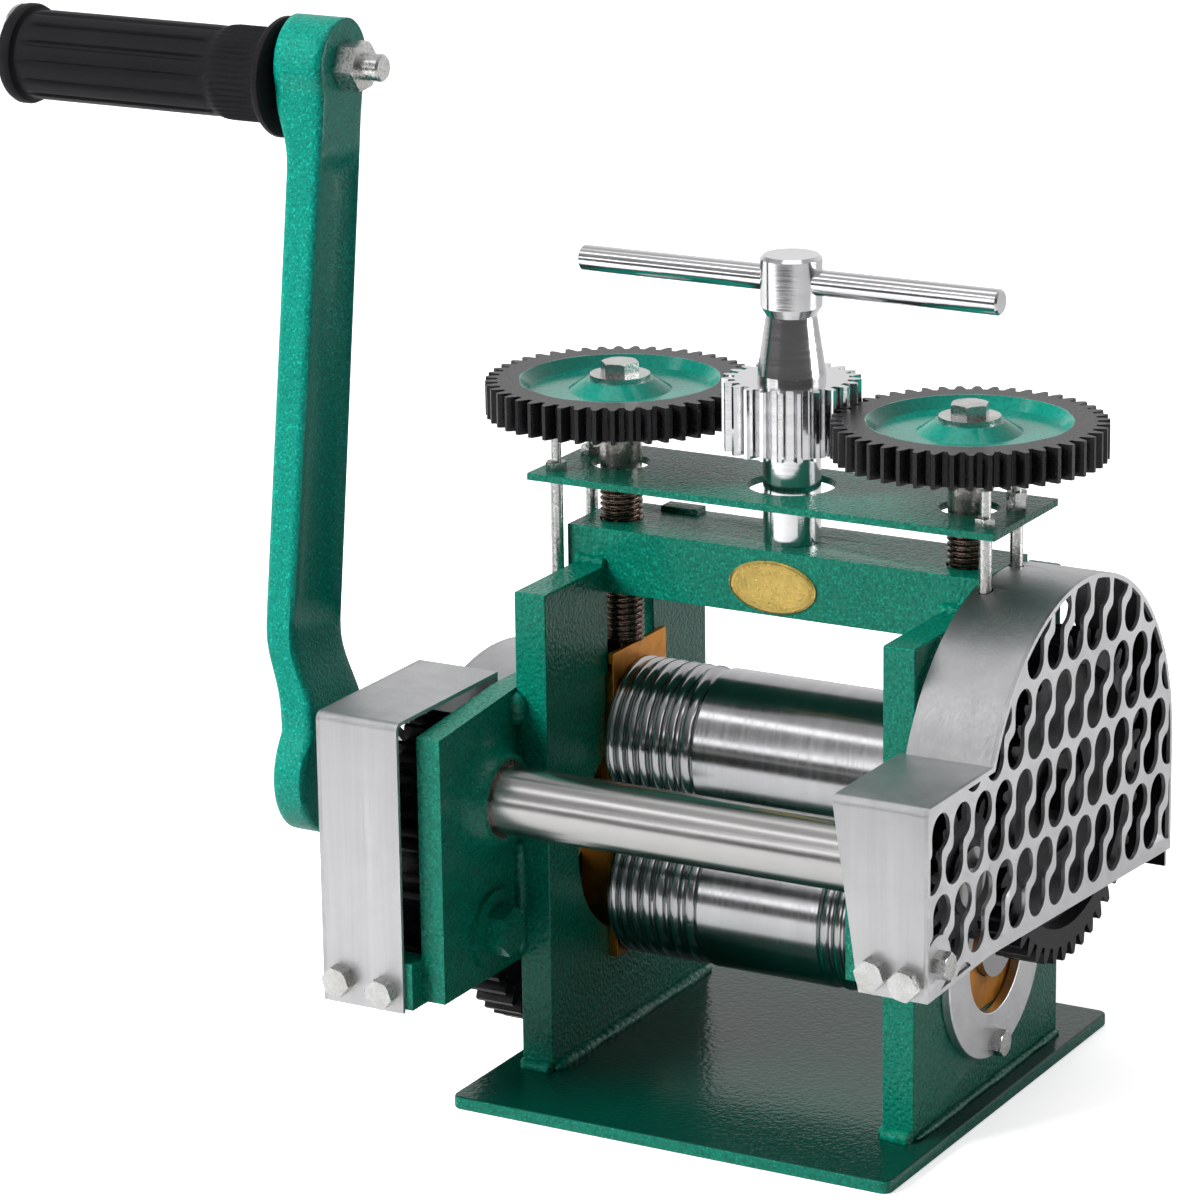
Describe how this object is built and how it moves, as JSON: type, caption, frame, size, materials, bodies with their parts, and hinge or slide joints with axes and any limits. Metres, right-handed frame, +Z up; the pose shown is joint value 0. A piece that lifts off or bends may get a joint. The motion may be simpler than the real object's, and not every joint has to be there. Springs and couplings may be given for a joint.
{
  "type": "jewellers rolling mill",
  "caption": "Hand-cranked bench rolling mill: two grooved rollers in a forked frame, geared front shaft with crank, geared screw adjustment with tee handle, pierced gear covers.",
  "frame": {"origin": "underside of the base plate, directly below the axis of the rollers, halfway along them", "axes": "+X along the rollers, away from the crank; +Z up; -Y is the front, where the drive shaft is"},
  "size_m": [0.3303, 0.1722, 0.3085],
  "materials": {
    "green_paint": "hammered gloss paint",
    "gear_black": "black teeth, green web",
    "cover_aluminium": "brushed",
    "ring_aluminium": "satin",
    "brass": "satin",
    "polished_steel": "polished",
    "satin_steel": "satin turned",
    "dark_steel": "dark oily thread",
    "zinc": "zinc plated",
    "rubber": "matt",
    "badge_gold": "plain pressed"
  },
  "bodies": {
    "frame": {"base_plate": "green_paint", "left_upright": "green_paint", "right_upright": "green_paint", "crossbar": "green_paint", "frame_welds": "green_paint", "badge": "badge_gold", "top_plate": "green_paint", "plate_studs": "zinc", "plate_nuts": "zinc", "left_bracket": "green_paint", "right_bracket": "green_paint", "left_shaft_bush": "dark_steel", "right_shaft_bush": "dark_steel", "left_cover": "cover_aluminium", "right_cover": "cover_aluminium", "left_cover_mesh": "cover_aluminium", "right_cover_mesh": "cover_aluminium", "left_cover_lug": "green_paint", "right_cover_lug": "green_paint", "left_cover_bolts": "zinc", "right_cover_bolts": "zinc", "left_lower_bearing": "brass", "right_lower_bearing": "brass", "left_retainer_ring": "ring_aluminium", "right_retainer_ring": "ring_aluminium", "ring_screws": "zinc", "idler_axle": "satin_steel", "idler_fasteners": "green_paint"},
    "crank": {"front_shaft": "satin_steel", "left_pinion": "gear_black", "right_pinion": "gear_black", "shaft_collars": "satin_steel", "shaft_clips": "satin_steel", "crank_arm": "green_paint", "crank_bolt": "zinc", "grip_spindle": "zinc", "grip_nut": "zinc"},
    "grip": {"grip": "rubber"},
    "idler": {"idler_gear": "gear_black"},
    "lower_roller": {"lower_roller": "polished_steel", "lower_roller_gear": "gear_black", "lower_roller_bolt": "zinc"},
    "carriage": {"left_upper_bearing": "brass", "right_upper_bearing": "brass"},
    "upper_roller": {"upper_roller": "polished_steel", "upper_roller_bolt": "zinc"},
    "upper_gear": {"upper_roller_gear": "gear_black"},
    "left_screw": {"left_jack_screw": "dark_steel", "left_jack_gear": "gear_black", "left_gear_bolt": "zinc"},
    "right_screw": {"right_jack_screw": "dark_steel", "right_jack_gear": "gear_black", "right_gear_bolt": "zinc"},
    "tee_handle": {"centre_pinion": "polished_steel", "tee_shaft": "polished_steel", "tee_bar": "polished_steel"}
  },
  "joints": [
    {"name": "crank_turn", "type": "hinge", "parent": "frame", "child": "crank", "pos_m": [0, -0.06592, 0.092], "axis": [1, 0, 0], "continuous": true},
    {"name": "grip_spin", "type": "hinge", "parent": "crank", "child": "grip", "pos_m": [-0.185, -0.041, 0.28998], "axis": [1, 0, 0], "continuous": true},
    {"name": "idler_turn", "type": "hinge", "parent": "frame", "child": "idler", "pos_m": [-0.082, -0.06592, 0.052], "axis": [1, 0, 0], "continuous": true},
    {"name": "lower_roller_turn", "type": "hinge", "parent": "frame", "child": "lower_roller", "pos_m": [0, 0, 0.0488], "axis": [1, 0, 0], "continuous": true},
    {"name": "carriage_lift", "type": "slide", "parent": "frame", "child": "carriage", "axis": [0, 0, 1], "range_m": [-0.0024, 0.0024]},
    {"name": "upper_roller_turn", "type": "hinge", "parent": "carriage", "child": "upper_roller", "pos_m": [0, 0, 0.0953], "axis": [1, 0, 0], "continuous": true},
    {"name": "upper_gear_settle", "type": "hinge", "parent": "upper_roller", "child": "upper_gear", "pos_m": [0.082, 0, 0.0953], "axis": [1, 0, 0], "range_deg": [-3, 3]},
    {"name": "left_screw_turn", "type": "hinge", "parent": "carriage", "child": "left_screw", "pos_m": [-0.056, 0, 0.16], "axis": [0, 0, 1], "range_deg": [-494, 494]},
    {"name": "right_screw_turn", "type": "hinge", "parent": "carriage", "child": "right_screw", "pos_m": [0.056, 0, 0.16], "axis": [0, 0, 1], "range_deg": [-494, 494]},
    {"name": "tee_handle_turn", "type": "hinge", "parent": "frame", "child": "tee_handle", "pos_m": [0, 0, 0.2], "axis": [0, 0, 1], "range_deg": [-1008, 1008]}
  ],
  "couplings": [
    {"joint": "idler_turn", "follows": "crank_turn", "ratio": -1},
    {"joint": "lower_roller_turn", "follows": "crank_turn", "ratio": 0.43478},
    {"joint": "upper_roller_turn", "follows": "crank_turn", "ratio": -0.43478},
    {"joint": "left_screw_turn", "follows": "tee_handle_turn", "ratio": -0.48936},
    {"joint": "right_screw_turn", "follows": "tee_handle_turn", "ratio": -0.48936},
    {"joint": "carriage_lift", "follows": "tee_handle_turn", "m_per_rad": -0.0001363},
    {"joint": "upper_gear_settle", "follows": "tee_handle_turn", "ratio": -0.002963}
  ]
}
